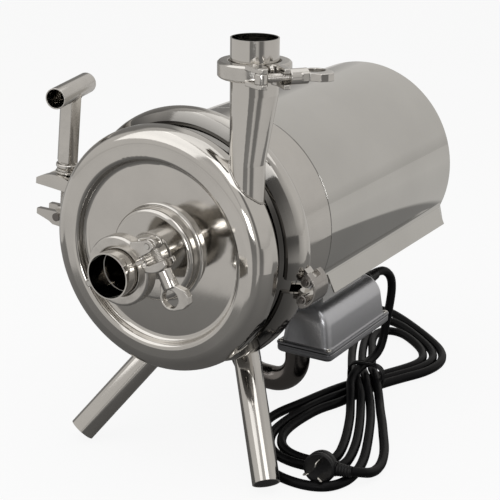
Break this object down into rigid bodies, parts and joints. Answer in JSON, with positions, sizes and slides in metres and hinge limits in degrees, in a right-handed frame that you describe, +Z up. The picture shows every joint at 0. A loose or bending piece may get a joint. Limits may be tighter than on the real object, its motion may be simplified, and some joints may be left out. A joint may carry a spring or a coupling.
{
  "type": "circulation pump",
  "caption": "Stainless centrifugal circulation pump with a clamped casing, tri-clamp ports, a shrouded motor on splayed legs and a tied supply cord.",
  "frame": {"origin": "centre of the suction stub's open end, on the shaft line", "axes": "-Y out of the suction port, +Y along the shaft to the motor, +Z up and out of the discharge port, +X on the discharge side"},
  "size_m": [0.4391, 0.695, 0.5121],
  "materials": {
    "polished_stainless": "mirror-polished stainless steel",
    "satin_stainless": "satin stainless steel",
    "white_gasket": "white silicone",
    "black_rubber": "soft black rubber",
    "seal_carbide": "lapped carbide",
    "cast_aluminium": "as cast",
    "laminated_steel": "stacked laminations",
    "copper_windings": "varnished copper wire",
    "black_plastic": "matt black",
    "grey_paint": "smooth silver-grey paint",
    "brass_screws": "yellow zinc plating",
    "nickel_pins": "nickel-plated brass"
  },
  "bodies": {
    "pump": {"suction_stub": "polished_stainless", "suction_gasket": "white_gasket", "suction_neck": "polished_stainless", "casing_bowl": "polished_stainless", "discharge_stub": "polished_stainless", "discharge_gasket": "white_gasket", "discharge_pipe": "polished_stainless", "casing_gasket": "black_rubber", "back_plate": "polished_stainless", "seal_seat": "seal_carbide", "upper_band": "polished_stainless", "lower_band": "polished_stainless", "band_pins": "satin_stainless", "band_link": "polished_stainless", "lantern": "satin_stainless", "flange_bolts": "satin_stainless", "motor_front_shield": "cast_aluminium", "motor_rear_shield": "cast_aluminium", "motor_bearings": "satin_stainless", "motor_frame": "cast_aluminium", "stator_core": "laminated_steel", "stator_windings": "copper_windings", "shroud": "satin_stainless", "shroud_end_plate": "satin_stainless", "terminal_box": "grey_paint", "terminal_gasket": "black_rubber", "terminal_lid": "grey_paint", "lid_screws": "brass_screws", "box_electrics": "black_plastic", "cable_gland": "black_plastic", "cord_run": "black_rubber", "cord_lead": "black_rubber", "cord_hank": "black_rubber", "cord_tie": "black_plastic", "plug_body": "black_rubber", "plug_pins": "nickel_pins", "left_leg": "polished_stainless", "right_leg": "polished_stainless", "foot_plugs": "black_plastic", "rear_hoop": "polished_stainless", "hoop_saddle": "satin_stainless", "suction_clamp_fork": "polished_stainless", "suction_clamp_seat": "polished_stainless", "suction_clamp_pins": "satin_stainless", "discharge_clamp_fork": "polished_stainless", "discharge_clamp_seat": "polished_stainless", "discharge_clamp_pins": "satin_stainless"},
    "rotor": {"shaft": "satin_stainless", "impeller": "polished_stainless", "impeller_nut": "polished_stainless", "seal_ring": "seal_carbide", "rotor_core": "laminated_steel", "fan": "black_plastic"},
    "band_swing_bolt": {"band_bolt": "satin_stainless"},
    "band_handle": {"t_handle": "polished_stainless"},
    "suction_swing_bolt": {"suction_bolt": "satin_stainless"},
    "suction_nut": {"suction_wing_nut": "polished_stainless"},
    "discharge_swing_bolt": {"discharge_bolt": "satin_stainless"},
    "discharge_nut": {"discharge_wing_nut": "polished_stainless"}
  },
  "joints": [
    {"name": "rotor_spin", "type": "hinge", "parent": "pump", "child": "rotor", "pos_m": [0, 0.3, 0], "axis": [0, 1, 0], "continuous": true},
    {"name": "band_bolt_swing", "type": "hinge", "parent": "pump", "child": "band_swing_bolt", "pos_m": [-0.18396, 0.163, -0.0043], "axis": [0, -1, 0], "range_deg": [0, 95]},
    {"name": "band_handle_turn", "type": "hinge", "parent": "band_swing_bolt", "child": "band_handle", "pos_m": [-0.18396, 0.163, -0.0043], "axis": [0.1045, 0, 0.9945], "continuous": true},
    {"name": "suction_bolt_swing", "type": "hinge", "parent": "pump", "child": "suction_swing_bolt", "pos_m": [0.03951, 0.027, 0.03539], "axis": [0, -1, 0], "range_deg": [0, 95]},
    {"name": "suction_nut_turn", "type": "hinge", "parent": "suction_swing_bolt", "child": "suction_nut", "pos_m": [0.03951, 0.027, 0.03539], "axis": [0.4695, 0, -0.8829], "continuous": true},
    {"name": "discharge_bolt_swing", "type": "hinge", "parent": "pump", "child": "discharge_swing_bolt", "pos_m": [0.13836, 0.07789, 0.212], "axis": [0, 0, -1], "range_deg": [0, 95]},
    {"name": "discharge_nut_turn", "type": "hinge", "parent": "discharge_swing_bolt", "child": "discharge_nut", "pos_m": [0.13836, 0.07789, 0.212], "axis": [0.6157, 0.788, 0], "continuous": true}
  ]
}
